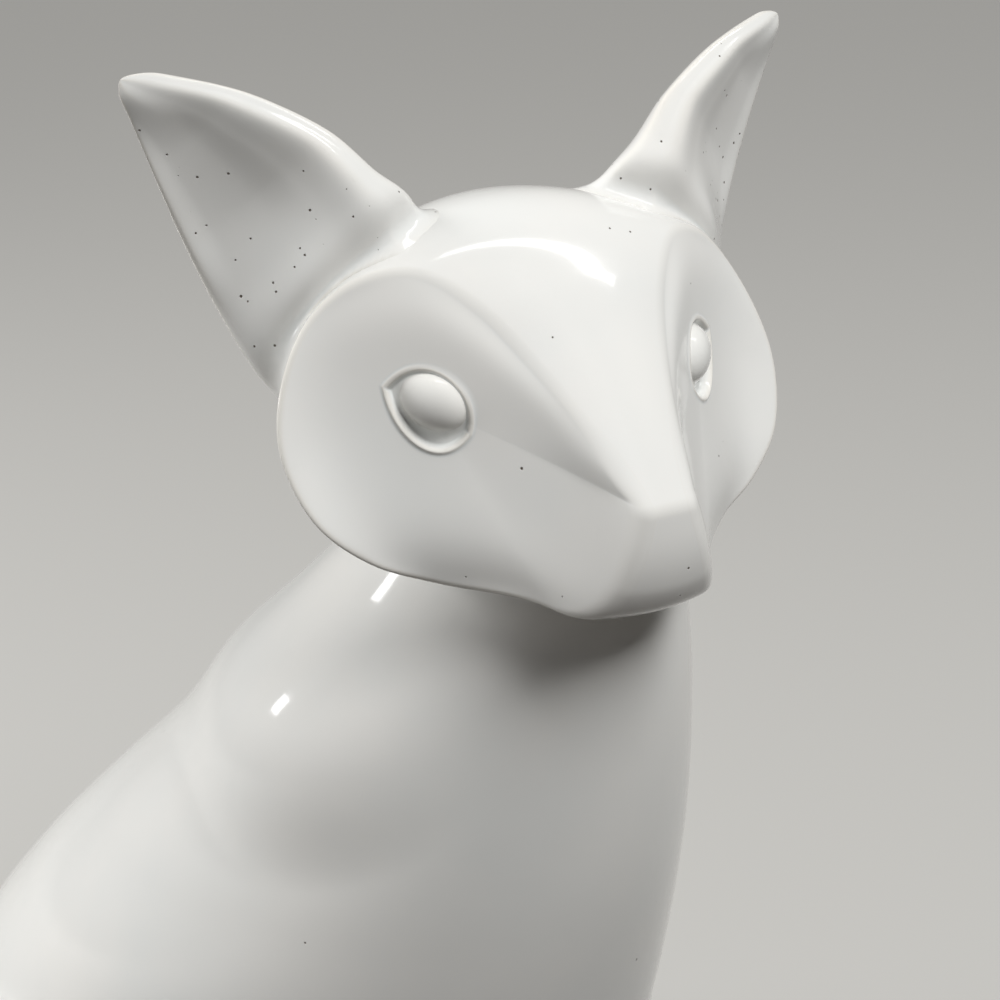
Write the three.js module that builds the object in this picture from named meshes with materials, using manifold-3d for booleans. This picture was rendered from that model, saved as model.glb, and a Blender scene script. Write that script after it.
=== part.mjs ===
// Seated fox ornament in white glazed ceramic: a hollow cast torso, and a head, ears, eyes, legs, paws and
// tail that are cast separately and luted to it. Millimetres, +Z up, the figure faces -Y and its left side
// is +X.
import * as THREE from 'three';
import Module from 'manifold-3d';
import { mergeVertices } from 'three/addons/utils/BufferGeometryUtils.js';

const wasm = await Module();
wasm.setup();

// Seams and walls
const JOINT_GAP = 0.3;
const SHELL_WALL = 7;
const PLATE_THICKNESS = 6;

// Foot: felt pads under the plate that closes the torso
const PAD_THICKNESS = 2;
const PAD_DIAMETER = 18;
const PAD_SPACING_ACROSS = 84;
const PAD_FRONT_INSET = 40;
const PAD_BACK_INSET = 42;
const VENT_DIAMETER = 22;

// Torso sections from the foot up: height, front, back and half width about the axis of the neck
const TORSO_SECTIONS = [
  [0, -27, 182, 76],
  [22, -26, 189, 79],
  [50, -27, 190, 81],
  [85, -32, 180, 81],
  [120, -39, 153, 77],
  [150, -44, 124, 69],
  [175, -46.5, 98.5, 61],
  [200, -47.5, 79, 53],
  [220, -47, 58, 45],
  [240, -45, 39, 36],
  [260, -42, 21, 27],
];
// The shell's hollow ends below the solid top of the neck
const HOLLOW_TOP = 232;

// Haunch and shoulder on each side of the torso: middle, length and height seen from the side, and swell
const HAUNCH_MIDDLE = [106, 40];
const HAUNCH_LENGTH = 136;
const HAUNCH_TALL = 116;
const HAUNCH_SWELL = 18;
const SHOULDER_MIDDLE = [34, 197];
const SHOULDER_LENGTH = 116;
const SHOULDER_TALL = 76;
const SHOULDER_SWELL = 5.5;

// Head: how far its own middle sits above the top of the neck and forward of the neck's axis, its turn
// about that axis, and the face's outline
const HEAD_LIFT = 21.5;
const HEAD_SETBACK = 10;
const HEAD_TURN = 23;
// Stations round one cheek disc from the nose over the crown and under the jaw back to the nose:
// rim x, y and z, then the y and z of the head's middle line beside it
const HEAD_STATIONS = [
  [7.5, -58.5, -14.5, -59, -14.2],
  [11.5, -44, 0, -45.5, 1.2],
  [18, -29, 15, -31, 17.5],
  [25.5, -17.5, 26.5, -19, 30.5],
  [36, -7.5, 33.5, -5, 41.5],
  [49, -1, 31, 10, 44.5],
  [60, 1.5, 21.5, 28, 40],
  [68, -1.5, 7.5, 42, 26],
  [70.5, -6.5, -6, 45, 6],
  [66, -13.5, -20, 36, -18],
  [55, -19, -30, 14, -33],
  [41, -25, -35.5, -14, -38.5],
  [26, -39, -38, -37, -39.5],
  [13.2, -55, -40.3, -55.6, -40.7],
];
// How far the nose's flat, between the two ends of that list, bows forward
const NOSE_BOW = 1.6;
// Places in that list that set the tilt of a cheek disc
const CROWN_INDEX = 4;
const CHEEK_INDEX = 7;
const JAW_INDEX = 11;

// Eyes: domed balls in almond recesses at the bottom of each cheek dish
const EYE_CENTRE = [37.3, -17, 4.6];
const EYE_RECESS = 3;
const EYE_BALL_LENGTH = 17.4;
const EYE_BALL_WIDTH = 13;
const EYE_BALL_DEPTH = 11;
const EYE_BALL_RISE = 3.6;
const EYE_BALL_LIFT = 0.9;
// Almond outline about the eye's centre: towards the nose, and up
const LID_OUTER_CORNER = [-11.1, -1.2];
const LID_INNER_CORNER = [10.2, -1.5];
const LID_TOP_BOW = [[-8.5, 12], [8.5, 8.8]];
const LID_BOTTOM_BOW = [[8.5, -13], [-4.5, -9.5]];

// Ears from the root inside the crown to the tip: front crest of the thick inner rim, back of that rim, and
// the thin outer edge
const EAR_CREST = [
  [34, 6, 27],
  [38, 0.5, 44],
  [45.3, 0.4, 52.4],
  [56.4, 5.1, 62.7],
  [68, 10.5, 69],
  [77, 16, 73.2],
  [84.5, 20.5, 76],
  [89, 23.4, 77],
];
const EAR_BACK = [
  [18, 20, 22],
  [23, 12, 42.5],
  [36.5, 13, 53],
  [46.5, 14.5, 62],
  [58.5, 16.8, 69.8],
  [70, 19, 75],
  [80, 21.5, 77.6],
  [87.6, 24, 78.3],
];
const EAR_EDGE = [
  [54, 12, -6],
  [65.5, 15, 8],
  [72.5, 20, 24],
  [78.5, 23, 39],
  [83, 24, 51],
  [87, 24.3, 62],
  [90, 24.3, 70.5],
  [91.2, 24.4, 74.6],
];
// Section of an ear in its blade: share of the way from crest to edge, and share of the way from crest to
// back
const EAR_SECTION_SHARES = [
  [0, 0],
  [0.22, 0.3],
  [0.5, 0.42],
  [0.8, 0.26],
  [1, 0.02],
  [0.86, 0.5],
  [0.5, 0.9],
  [0.12, 1.02],
  [-0.04, 0.6],
];
// The same where its front wraps round the head, and the shares of its length between which one turns into
// the other
const EAR_ROOT_SHARES = [
  [0, 0],
  [0.22, -0.15],
  [0.5, -0.28],
  [0.8, -0.18],
  [1, 0.02],
  [0.86, 0.5],
  [0.5, 0.9],
  [0.12, 1.02],
  [-0.04, 0.6],
];
const EAR_WRAP_ENDS = [0.16, 0.42];

// Forelegs: height, centre, half depth and half width of each section from the foot up
const FORELEG_STANCE = 50;
const FORELEG_SECTIONS = [
  [0, -41, 26, 17.5],
  [6, -41.5, 27.5, 19],
  [13, -40, 25, 18.5],
  [22, -33, 18, 16.5],
  [38, -29, 15.5, 15.5],
  [60, -25, 15.5, 15.5],
  [80, -19.5, 12.5, 13],
  [94, -15, 8, 8],
];

// Hind paws, in the same way
const HIND_PAW_STANCE = 148;
const HIND_PAW_SECTIONS = [
  [0, 36, 42, 17],
  [8, 36, 44, 19],
  [18, 40, 40, 18],
  [28, 48, 31, 15],
  [36, 56, 17, 8],
];
const PAW_BLUNTNESS = 0.82;
const TOE_GROOVE_DEPTH = 2.6;
const TOE_GROOVE_ANGLE = 19;
const TOE_GROOVE_SPREAD = 7;
const TOE_HEIGHT = 16;

// Tail: points along its middle and the radius at each
const TAIL_STATIONS = [
  [14, 174, 36, 15],
  [-16, 200, 29, 22],
  [-58, 206, 26, 27],
  [-94, 184, 25, 29],
  [-115, 146, 25, 28],
  [-124, 104, 22, 25],
  [-121, 64, 17, 18],
  [-112, 34, 10, 8],
  [-108, 22, 7, 2],
];

const GLAZE = { color: 0xe9e8e3, roughness: 0.12, metalness: 0 };
const BISQUE = { color: 0xd8cdb8, roughness: 0.85, metalness: 0 };
const FELT = { color: 0x3c3f3a, roughness: 1, metalness: 0 };

const headHeight = TORSO_SECTIONS.at(-1)[0] + HEAD_LIFT;

// Smooth curve through rows of numbers, at a share t of its stations
function along(rows, t) {
  const place = Math.min(Math.max(t, 0), 1) * (rows.length - 1);
  const i = Math.min(Math.floor(place), rows.length - 2);
  const w = place - i;
  return rows[0].map((_, k) => {
    const p1 = rows[i][k];
    const p2 = rows[i + 1][k];
    const p0 = i > 0 ? rows[i - 1][k] : 2 * p1 - p2;
    const p3 = i + 2 < rows.length ? rows[i + 2][k] : 2 * p2 - p1;
    const v1 = (p2 - p0) / 2;
    const v2 = (p3 - p1) / 2;
    return p1 + v1 * w + (3 * (p2 - p1) - 2 * v1 - v2) * w * w + (2 * (p1 - p2) + v1 + v2) * w * w * w;
  });
}

// Closed skin from corner points and triangles
function skinOf(points, triangles) {
  const skin = new THREE.BufferGeometry();
  skin.setAttribute('position', new THREE.Float32BufferAttribute(points.flat(), 3));
  skin.setIndex(triangles.flat());
  return skin;
}

// Solid inside a closed skin, with repeated corners joined
function solidOf(skin) {
  const bare = positionsOnly(skin);
  bare.setIndex(skin.getIndex());
  const joined = mergeVertices(bare, 1e-4);
  return new wasm.Manifold(new wasm.Mesh({
    numProp: 3,
    vertProperties: new Float32Array(joined.getAttribute('position').array),
    triVerts: new Uint32Array(joined.getIndex().array),
  }));
}

function positionsOnly(geometry) {
  const bare = new THREE.BufferGeometry();
  bare.setAttribute('position', geometry.getAttribute('position'));
  return bare;
}

// Skin over closed rings that run anticlockwise about the direction from the first ring to the last
function loft(rings) {
  const points = rings.flat();
  const triangles = [];
  const count = rings[0].length;
  for (let row = 0; row + 1 < rings.length; row += 1) {
    for (let k = 0; k < count; k += 1) {
      const a = row * count + k;
      const b = row * count + (k + 1) % count;
      triangles.push([a, b, b + count], [a, b + count, a + count]);
    }
  }
  for (const row of [0, rings.length - 1]) {
    const ring = rings[row];
    const middle = points.length;
    points.push([0, 1, 2].map((axis) => ring.reduce((sum, p) => sum + p[axis], 0) / count));
    for (let k = 0; k < count; k += 1) {
      const a = row * count + k;
      const b = row * count + (k + 1) % count;
      triangles.push(row === 0 ? [middle, b, a] : [middle, a, b]);
    }
  }
  return skinOf(points, triangles);
}

// Torso outline at a share t of its sections, grown outwards or shrunk inwards
function torsoRing(t, grow, count) {
  const [height, front, back, half] = along(TORSO_SECTIONS, t);
  const centre = (front + back) / 2;
  const depth = (back - front) / 2;
  const ring = [];
  for (let k = 0; k < count; k += 1) {
    const angle = 2 * Math.PI * k / count;
    const x = half * Math.cos(angle);
    const y = depth * Math.sin(angle);
    const radius = Math.hypot(x, y);
    const swell = Math.sign(x) * torsoSwell(centre + y, height);
    ring.push([x * (1 + grow / radius) + swell, centre + y * (1 + grow / radius), height + PAD_THICKNESS]);
  }
  return ring;
}

// Sideways swell of the haunch, which ends in a crease, and of the shoulder, which fades out
function torsoSwell(y, height) {
  const dome = ([middle, level], length, tall) => {
    const ahead = (y - middle) / (length / 2);
    const upward = (height - level) / (tall / 2);
    return Math.max(0, 1 - ahead * ahead - upward * upward);
  };
  const haunch = dome(HAUNCH_MIDDLE, HAUNCH_LENGTH, HAUNCH_TALL);
  const shoulder = dome(SHOULDER_MIDDLE, SHOULDER_LENGTH, SHOULDER_TALL);
  return HAUNCH_SWELL * haunch + SHOULDER_SWELL * shoulder * shoulder;
}

function torsoForm(grow) {
  const rings = [];
  const rows = 28;
  for (let row = 0; row <= rows; row += 1) {
    rings.push(torsoRing(row / rows, grow, 44));
  }
  return loft(rings);
}

// Hollow of the torso: its outline shrunk by the wall and a clearance, run out below the foot and closed
// under the neck
function torsoHollow(clearance) {
  const rings = [];
  const rows = 14;
  const top = shareAtHeight(HOLLOW_TOP);
  for (let row = 0; row <= rows; row += 1) {
    rings.push(torsoRing(top * row / rows, -SHELL_WALL - clearance, 28));
  }
  const mouth = rings[0].map(([x, y, z]) => [x, y, z - PAD_THICKNESS]);
  return loft([mouth, ...rings]);
}

// Share of the torso's sections at which a height is reached
function shareAtHeight(height) {
  let low = 0;
  let high = 1;
  for (let step = 0; step < 40; step += 1) {
    const middle = (low + high) / 2;
    if (along(TORSO_SECTIONS, middle)[0] < height) {
      low = middle;
    } else {
      high = middle;
    }
  }
  return low;
}

// Head skinned from one cheek disc's rim to the other's, with a dished disc inside each rim
function headForm() {
  const outlineSteps = 52;
  const noseSteps = 4;
  const acrossSteps = 14;
  const dishSteps = 6;
  const stations = [];
  for (let i = 0; i <= outlineSteps; i += 1) {
    stations.push(along(HEAD_STATIONS, i / outlineSteps));
  }
  const last = stations[outlineSteps];
  for (let i = 1; i < noseSteps; i += 1) {
    const share = i / noseSteps;
    const [x, y, z, middleY, middleZ] = last.map((value, k) => value + (stations[0][k] - value) * share);
    const bow = NOSE_BOW * Math.sin(Math.PI * share);
    stations.push([x, y - bow, z, middleY - bow, middleZ]);
  }
  const count = stations.length;
  const points = [];
  const triangles = [];
  for (const [x, y, z, middleY, middleZ] of stations) {
    for (let j = 0; j <= acrossSteps; j += 1) {
      const q = 2 * j / acrossSteps - 1;
      points.push([x * q, middleY + (y - middleY) * q * q, middleZ + (z - middleZ) * q * q]);
    }
  }
  const wide = acrossSteps + 1;
  for (let i = 0; i < count; i += 1) {
    const here = i * wide;
    const next = ((i + 1) % count) * wide;
    for (let j = 0; j < acrossSteps; j += 1) {
      triangles.push([here + j, here + j + 1, next + j + 1], [here + j, next + j + 1, next + j]);
    }
  }
  for (const side of [-1, 1]) {
    const frame = eyeFrame(side);
    const first = points.length;
    for (let ring = dishSteps; ring >= 1; ring -= 1) {
      for (const [x, y, z] of stations) {
        points.push(dishPoint(frame, [side * x, y, z], ring / dishSteps));
      }
    }
    const pole = points.length;
    points.push(frame.origin.toArray());
    for (let ring = 0; ring < dishSteps; ring += 1) {
      for (let i = 0; i < count; i += 1) {
        const a = first + ring * count + i;
        const b = first + ring * count + (i + 1) % count;
        const band = [[a, b, b + count], [a, b + count, a + count]];
        const faces = ring + 1 < dishSteps ? band : [[a, b, pole]];
        triangles.push(...faces.map((face) => (side < 0 ? face : face.toReversed())));
      }
    }
  }
  return skinOf(points, triangles);
}

// Point of a cheek disc at a share of the way from the eye to the rim: the dish rises with the square of it
function dishPoint(frame, rim, share) {
  const out = new THREE.Vector3(...rim).sub(frame.origin);
  const rise = out.dot(frame.normal);
  const flat = out.addScaledVector(frame.normal, -rise);
  const point = frame.origin.clone().addScaledVector(flat, share);
  return point.addScaledVector(frame.normal, rise * share * share).toArray();
}

// Axes of a cheek disc at the eye: towards the nose, up, and out of the face
function eyeFrame(side) {
  const rimAt = (station) => {
    const [x, y, z] = HEAD_STATIONS[station];
    return new THREE.Vector3(side * x, y, z);
  };
  const nose = rimAt(0).add(rimAt(HEAD_STATIONS.length - 1)).multiplyScalar(0.5);
  const toNose = nose.sub(rimAt(CHEEK_INDEX)).normalize();
  const rise = rimAt(CROWN_INDEX).sub(rimAt(JAW_INDEX));
  const normal = new THREE.Vector3().crossVectors(rise, toNose).multiplyScalar(side).normalize();
  const up = new THREE.Vector3().crossVectors(normal, toNose).multiplyScalar(-side).normalize();
  const origin = new THREE.Vector3(side * EYE_CENTRE[0], EYE_CENTRE[1], EYE_CENTRE[2]);
  return { origin, toNose, up, normal };
}

// Places a form drawn towards the nose, up and outwards on a cheek disc
function onFace(geometry, side) {
  const { origin, toNose, up, normal } = eyeFrame(side);
  const place = new THREE.Matrix4().makeBasis(toNose, up, normal).setPosition(origin);
  geometry.applyMatrix4(place);
  if (place.determinant() < 0) {
    const index = geometry.getIndex().array;
    for (let k = 0; k < index.length; k += 3) {
      [index[k], index[k + 1]] = [index[k + 1], index[k]];
    }
  }
  return geometry;
}

function eyeBall(side, grow) {
  const ball = new THREE.SphereGeometry(1, 18, 10);
  ball.scale(EYE_BALL_LENGTH / 2 + grow, EYE_BALL_WIDTH / 2 + grow, EYE_BALL_DEPTH / 2 + grow);
  ball.translate(0, EYE_BALL_LIFT, EYE_BALL_RISE - EYE_BALL_DEPTH / 2);
  return onFace(ball, side);
}

// Almond recess for an eye, from its floor out past the face
function eyeRecess(side) {
  const lids = new THREE.Shape();
  lids.moveTo(...LID_OUTER_CORNER);
  lids.bezierCurveTo(...LID_BOTTOM_BOW[1], ...LID_BOTTOM_BOW[0], ...LID_INNER_CORNER);
  lids.bezierCurveTo(...LID_TOP_BOW[1], ...LID_TOP_BOW[0], ...LID_OUTER_CORNER);
  const straight = { depth: 4 * EYE_RECESS, bevelEnabled: false, curveSegments: 10 };
  const recess = new THREE.ExtrudeGeometry(lids, straight);
  recess.translate(0, 0, -EYE_RECESS);
  return onFace(mergeVertices(positionsOnly(recess)), side);
}

// Ear skinned along its crest, back and edge: a thick inner rim, a hollowed front and a rounded back
function earForm(side) {
  const blade = roundCurve(EAR_SECTION_SHARES);
  const root = roundCurve(EAR_ROOT_SHARES);
  const rings = [];
  const rows = 20;
  for (let row = 0; row <= rows; row += 1) {
    const [crest, back, edge] = [EAR_CREST, EAR_BACK, EAR_EDGE].map((line) => along(line, row / rows));
    const turned = THREE.MathUtils.smoothstep(row / rows, ...EAR_WRAP_ENDS);
    const section = root.map((share, k) => share.clone().lerp(blade[k], turned));
    const mix = (share) => (c, k) => c + share.x * (edge[k] - c) + share.y * (back[k] - c);
    const ring = section.map((share) => crest.map(mix(share)));
    rings.push(ring.map(([x, y, z]) => [side * x, y, z]));
  }
  return loft(side > 0 ? rings : rings.map((ring) => ring.toReversed()));
}

// Closed smooth curve through the corners of an ear's section
function roundCurve(shares) {
  const corners = shares.map(([across, deep]) => new THREE.Vector3(across, deep, 0));
  return new THREE.CatmullRomCurve3(corners, true, 'catmullrom', 0.5).getPoints(27).slice(0, -1);
}

// Leg or paw skinned over level sections, with grooves between the toes at the front of its foot
function pawForm(sections, middle) {
  const rings = [];
  const rows = 11;
  const count = 28;
  for (let row = 0; row <= rows; row += 1) {
    const [height, centre, depth, half] = along(sections, row / rows);
    const ring = [];
    for (let k = 0; k < count; k += 1) {
      const angle = 2 * Math.PI * k / count;
      const trim = 1 - toeGroove(angle, height) / depth;
      const x = half * blunt(Math.cos(angle)) * trim;
      const y = depth * blunt(Math.sin(angle)) * trim;
      ring.push([middle + x, centre + y, height + PAD_THICKNESS]);
    }
    rings.push(ring);
  }
  return loft(rings);
}

// Fills out the corners of an oval
function blunt(share) {
  return Math.sign(share) * Math.abs(share) ** PAW_BLUNTNESS;
}

function toeGroove(angle, height) {
  const fromFront = Math.abs(THREE.MathUtils.radToDeg(angle) - 270);
  const across = (fromFront - TOE_GROOVE_ANGLE) / TOE_GROOVE_SPREAD;
  const fade = Math.max(0, 1 - height / TOE_HEIGHT);
  return TOE_GROOVE_DEPTH * Math.exp(-across * across) * Math.sqrt(fade);
}

// Tail: round sections carried along its middle line
function tailForm() {
  const rings = [];
  const rows = 26;
  const up = new THREE.Vector3(0, 0, 1);
  for (let row = 0; row <= rows; row += 1) {
    const t = row / rows;
    const [x, y, z, radius] = along(TAIL_STATIONS, t);
    const ahead = new THREE.Vector3(...along(TAIL_STATIONS, t + 0.01).slice(0, 3));
    const behind = new THREE.Vector3(...along(TAIL_STATIONS, t - 0.01).slice(0, 3));
    const forward = ahead.sub(behind).normalize();
    const across = new THREE.Vector3().crossVectors(up, forward).normalize();
    const over = new THREE.Vector3().crossVectors(forward, across);
    const ring = [];
    for (let k = 0; k < 18; k += 1) {
      const angle = 2 * Math.PI * k / 18;
      const p = new THREE.Vector3(x, y, z + PAD_THICKNESS);
      p.addScaledVector(across, radius * Math.cos(angle)).addScaledVector(over, radius * Math.sin(angle));
      ring.push(p.toArray());
    }
    rings.push(ring);
  }
  return loft(rings);
}

// Level slab wider than the figure, from a height upwards
function slab(floor, thickness) {
  const wide = 4 * headHeight;
  return new THREE.BoxGeometry(wide, wide, thickness).translate(0, 0, floor + thickness / 2);
}

function disc(diameter, height, x, y, z) {
  const geometry = new THREE.CylinderGeometry(diameter / 2, diameter / 2, height, 24);
  return geometry.rotateX(Math.PI / 2).translate(x, y, z + height / 2);
}

// Same skin a joint's gap larger on every side, about the middle of its box
function grown(skin) {
  const larger = skin.clone();
  larger.computeBoundingBox();
  const middle = larger.boundingBox.getCenter(new THREE.Vector3());
  const size = larger.boundingBox.getSize(new THREE.Vector3());
  const scale = size.toArray().map((length) => 1 + 2 * JOINT_GAP / length);
  larger.translate(-middle.x, -middle.y, -middle.z).scale(...scale);
  return larger.translate(middle.x, middle.y, middle.z);
}

function addPiece(parent, name, solid, look) {
  const { vertProperties, triVerts } = solid.getMesh();
  const geometry = new THREE.BufferGeometry();
  geometry.setAttribute('position', new THREE.BufferAttribute(new Float32Array(vertProperties), 3));
  geometry.setIndex(new THREE.BufferAttribute(new Uint32Array(triVerts), 1));
  geometry.computeVertexNormals();
  const mesh = new THREE.Mesh(geometry, new THREE.MeshStandardMaterial(look));
  mesh.name = name;
  parent.add(mesh);
}

// The figure stands on the axis of its neck, and the head's pieces hang in a group that turns about it
const group = new THREE.Group();
group.name = 'fox_ornament';
const figure = new THREE.Group();
const neck = new THREE.Group();
const skull = new THREE.Group();
group.add(figure);
figure.add(neck);
neck.add(skull);
neck.position.z = headHeight + PAD_THICKNESS;
neck.rotation.z = -THREE.MathUtils.degToRad(HEAD_TURN);
skull.position.y = -HEAD_SETBACK;
group.updateMatrixWorld(true);

// Torso and the plate in its foot
const torsoSeat = torsoForm(JOINT_GAP);
addPiece(figure, 'torso_shell', solidOf(torsoForm(0)).subtract(solidOf(torsoHollow(0))), GLAZE);

const [, footFront, footBack] = TORSO_SECTIONS[0];
const plate = solidOf(torsoHollow(JOINT_GAP)).intersect(solidOf(slab(PAD_THICKNESS, PLATE_THICKNESS)));
const ventY = (footFront + footBack) / 2;
const vent = disc(VENT_DIAMETER, 3 * PLATE_THICKNESS, 0, ventY, PAD_THICKNESS - PLATE_THICKNESS);
addPiece(figure, 'foot_plate', plate.subtract(solidOf(vent)), BISQUE);
for (const [row, y] of [['front', footFront + PAD_FRONT_INSET], ['back', footBack - PAD_BACK_INSET]]) {
  for (const [name, side] of [['right', -1], ['left', 1]]) {
    const pad = disc(PAD_DIAMETER, PAD_THICKNESS, side * PAD_SPACING_ACROSS / 2, y, 0);
    addPiece(figure, `felt_pad_${row}_${name}`, solidOf(pad), FELT);
  }
}

// Head with the recesses for its eyes and the seat for the neck
const headSkin = headForm();
const neckSeat = torsoSeat.clone().applyMatrix4(skull.matrixWorld.clone().invert());
let head = solidOf(headSkin).subtract(solidOf(neckSeat));
for (const side of [-1, 1]) {
  head = head.subtract(solidOf(eyeRecess(side))).subtract(solidOf(eyeBall(side, JOINT_GAP)));
}
addPiece(skull, 'head', head, GLAZE);
const earSeat = solidOf(grown(headSkin));
for (const [name, side] of [['right', -1], ['left', 1]]) {
  addPiece(skull, `${name}_ear`, solidOf(earForm(side)).subtract(earSeat), GLAZE);
  addPiece(skull, `${name}_eye`, solidOf(eyeBall(side, 0)), GLAZE);
}

// Legs, paws and tail, each seated on the torso
const legSeat = solidOf(torsoSeat);
let tail = solidOf(tailForm()).intersect(solidOf(slab(PAD_THICKNESS, headHeight))).subtract(legSeat);
for (const [name, side] of [['right', -1], ['left', 1]]) {
  const foreleg = pawForm(FORELEG_SECTIONS, side * FORELEG_STANCE / 2);
  const hindPaw = pawForm(HIND_PAW_SECTIONS, side * HIND_PAW_STANCE / 2);
  addPiece(figure, `${name}_foreleg`, solidOf(foreleg).subtract(legSeat), GLAZE);
  addPiece(figure, `${name}_hind_paw`, solidOf(hindPaw).subtract(legSeat), GLAZE);
  tail = tail.subtract(solidOf(grown(hindPaw)));
}
addPiece(figure, 'tail', tail, GLAZE);

// Stand the figure over the middle of its own box
const box = new THREE.Box3().setFromObject(group, true);
const middle = box.getCenter(new THREE.Vector3());
figure.position.set(-middle.x, -middle.y, -box.min.z);

export default group;
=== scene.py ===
"""Seated fox ornament in white glazed ceramic: the glazed surface of each piece, worked out over its solid.

Shapes are drawn in millimetres about the axis of the neck, with the plane that the felt pads stand on at
zero, and go into the meshes in metres in the frame of the solids: +Z is up, the figure faces -Y and its
left side is +X.
"""

from types import SimpleNamespace

import bpy
import numpy as np
from bpy.props import FloatProperty, FloatVectorProperty, PointerProperty
from mathutils import Matrix, Vector


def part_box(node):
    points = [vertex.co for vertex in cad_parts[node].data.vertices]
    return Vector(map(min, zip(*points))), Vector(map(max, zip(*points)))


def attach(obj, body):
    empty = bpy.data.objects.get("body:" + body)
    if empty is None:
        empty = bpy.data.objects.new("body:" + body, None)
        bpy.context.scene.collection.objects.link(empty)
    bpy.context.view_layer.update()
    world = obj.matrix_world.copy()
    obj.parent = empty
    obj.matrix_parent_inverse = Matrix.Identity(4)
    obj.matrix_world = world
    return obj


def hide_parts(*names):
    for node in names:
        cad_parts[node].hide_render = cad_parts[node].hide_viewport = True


bl_info = {
    "name": "Glazed fox ornament",
    "version": (1, 0, 0),
    "blender": (4, 5, 0),
    "location": "View3D > Sidebar > Ornament",
    "description": "Seated fox in white glazed ceramic, made piece by piece over its solids",
    "category": "Add Mesh",
}

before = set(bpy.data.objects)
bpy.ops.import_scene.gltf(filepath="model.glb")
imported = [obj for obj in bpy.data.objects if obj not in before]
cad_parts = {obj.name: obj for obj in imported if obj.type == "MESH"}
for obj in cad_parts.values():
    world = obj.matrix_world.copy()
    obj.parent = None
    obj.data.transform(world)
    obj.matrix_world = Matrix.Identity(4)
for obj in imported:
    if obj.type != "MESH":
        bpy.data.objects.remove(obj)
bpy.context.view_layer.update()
MM = 0.001
SIDES = {"right": -1, "left": 1}

# Torso from the foot up: height, front, back and half width
TORSO_SECTIONS = np.array([
    [0, -27, 182, 76],
    [22, -26, 189, 79],
    [50, -27, 190, 81],
    [85, -32, 180, 81],
    [120, -39, 153, 77],
    [150, -44, 124, 69],
    [175, -46.5, 98.5, 61],
    [200, -47.5, 79, 53],
    [220, -47, 58, 45],
    [240, -45, 39, 36],
    [260, -42, 21, 27],
])
NECK_TOP = TORSO_SECTIONS[-1, 0]
# Swells on each side of it: middle along and up, half length, half height
HAUNCH = (106, 40, 68, 58)
SHOULDER = (34, 197, 58, 38)
# Softness of the haunch's edge, and the distance from the middle plane over which the swells set in
HAUNCH_SOFTNESS = 0.006
SWELL_EASE = 6
# Points round the torso, rows up its hollow, and rows at its foot that are wiped of glaze
TORSO_COLUMNS, HOLLOW_ROWS, WIPED_ROWS = 240, 40, 4
# Soft seams: distance beside the other piece over which one fades out, height over which it sets in above
# the foot, and the least square of the mixed normals
SEAM_FADE, SEAM_FOOT, SEAM_LEAST = 4, 8, 0.3

# Head round one cheek disc, from the nose over the crown and under the jaw: rim x, y and z, then the middle
# line's y and z
HEAD_STATIONS = np.array([
    [7.5, -58.5, -14.5, -59, -14.2],
    [11.5, -44, 0, -45.5, 1.2],
    [18, -29, 15, -31, 17.5],
    [25.5, -17.5, 26.5, -19, 30.5],
    [36, -7.5, 33.5, -5, 41.5],
    [49, -1, 31, 10, 44.5],
    [60, 1.5, 21.5, 28, 40],
    [68, -1.5, 7.5, 42, 26],
    [70.5, -6.5, -6, 45, 6],
    [66, -13.5, -20, 36, -18],
    [55, -19, -30, 14, -33],
    [41, -25, -35.5, -14, -38.5],
    [26, -39, -38, -37, -39.5],
    [16.8, -53.3, -42.7, -55.3, -44.6],
])
CROWN_STATION, CHEEK_STATION, JAW_STATION = 4, 7, 11
# Where the rims begin to soften towards the nose, and over what length
MUZZLE_START, MUZZLE_RUN = -36, 18
# The most of the way from a rim to the middle line that its rounding takes up
RIM_SHARE = 0.4
# Stations over which a disc's rise is blurred at the eye
RISE_BLUR = 48

# Eyes, and the almond cut round each: towards the nose, and up
EYE_CENTRE = np.array([37.3, -17, 4.6])
LID_OUTER_CORNER = np.array([-11.1, -1.2])
LID_INNER_CORNER = np.array([10.2, -1.5])
LID_TOP_BOW = np.array([[-8.5, 12], [8.5, 8.8]])
LID_BOTTOM_BOW = np.array([[8.5, -13], [-4.5, -9.5]])
# Lip along the lower lid, in widths of the lid's wall: its crest past the almond, and its spread squared
BEAD_PLACE, BEAD_SPREAD = 0.4, 0.15
# How far the cove's ball lies under the eyeball's surface
COVE_INSET = 0.2

# Ears from the root to the tip: crest of the thick inner rim, back of that rim, and the thin outer edge
EAR_CREST = np.array([
    [34, 6, 27], [38, 0.5, 44], [45.3, 0.4, 52.4], [56.4, 5.1, 62.7],
    [68, 10.5, 69], [77, 16, 73.2], [84.5, 20.5, 76], [90, 23.8, 77.5],
])
EAR_BACK = np.array([
    [18, 20, 22], [23, 12, 42.5], [36.5, 13, 53], [46.5, 14.5, 62],
    [58.5, 16.8, 69.8], [70, 19, 75], [80, 21.5, 77.8], [88.4, 24.3, 79],
])
EAR_EDGE = np.array([
    [54, 12, -6], [65.5, 15, 8], [72.5, 20, 24], [78.5, 23, 39],
    [83, 24, 51], [87, 24.3, 62], [90.2, 24.4, 70.5], [92.2, 24.7, 75],
])
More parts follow.
